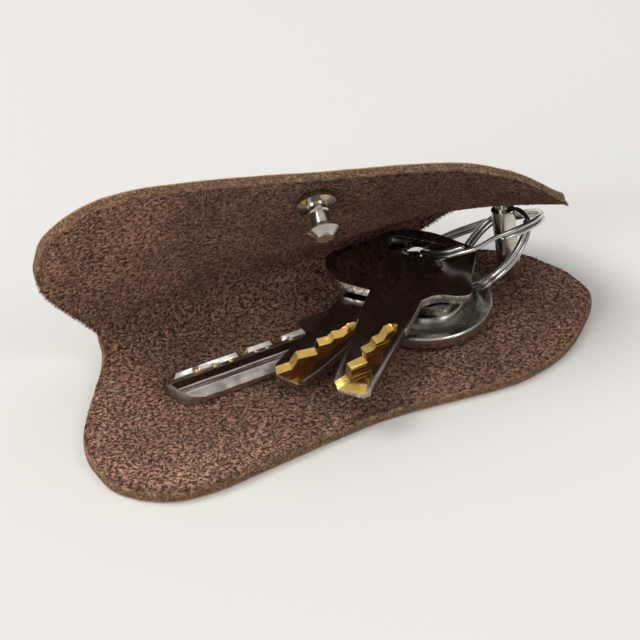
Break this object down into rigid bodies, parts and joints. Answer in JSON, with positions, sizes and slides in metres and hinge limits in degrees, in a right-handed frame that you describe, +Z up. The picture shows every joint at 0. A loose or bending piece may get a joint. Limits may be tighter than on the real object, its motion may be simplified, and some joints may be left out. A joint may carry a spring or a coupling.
{
  "type": "key case",
  "caption": "Folded leather key case with a key post, a closing stud and keys on split rings, lying open.",
  "frame": {"origin": "middle of the case's box at the table's height", "axes": "+X along the fold towards the key post, +Y from the front edge to the fold, +Z up"},
  "size_m": [0.113, 0.0487, 0.0503],
  "materials": {
    "hide": "dark brown suede inside, smooth tan grain outside",
    "post_metal": "worn nickel plate",
    "ring_steel": "polished",
    "nickel_key": "nickel plated, brass where milled",
    "dimple_key_metal": "satin nickel silver"
  },
  "bodies": {
    "case": {"lower_flap": "hide", "fold": "hide", "post_tab": "hide", "post_barrel": "post_metal", "post_screw": "post_metal"},
    "flap": {"upper_flap": "hide", "stud": "post_metal", "stud_screw": "post_metal"},
    "rings": {"ring_a": "ring_steel", "ring_b": "ring_steel", "key_2": "nickel_key", "dimple_key": "dimple_key_metal", "bow_cap": "dimple_key_metal"},
    "top_key": {"key_1": "nickel_key"}
  },
  "joints": [
    {"name": "flap_hinge", "type": "hinge", "parent": "case", "child": "flap", "pos_m": [-0.0198, 0.01545, 0.0089], "axis": [1, 0, 0], "range_deg": [-14, 31]},
    {"name": "ring_swing", "type": "hinge", "parent": "case", "child": "rings", "pos_m": [0.0449, 0.00565, 0.0028], "axis": [-0.0523, 0.1905, 0.9803], "range_deg": [0, 36]},
    {"name": "top_key_fan", "type": "hinge", "parent": "rings", "child": "top_key", "pos_m": [0.0266, 0.01045, 0.013], "axis": [-0.0499, -0.0462, 0.9977], "range_deg": [-15, 2]}
  ]
}
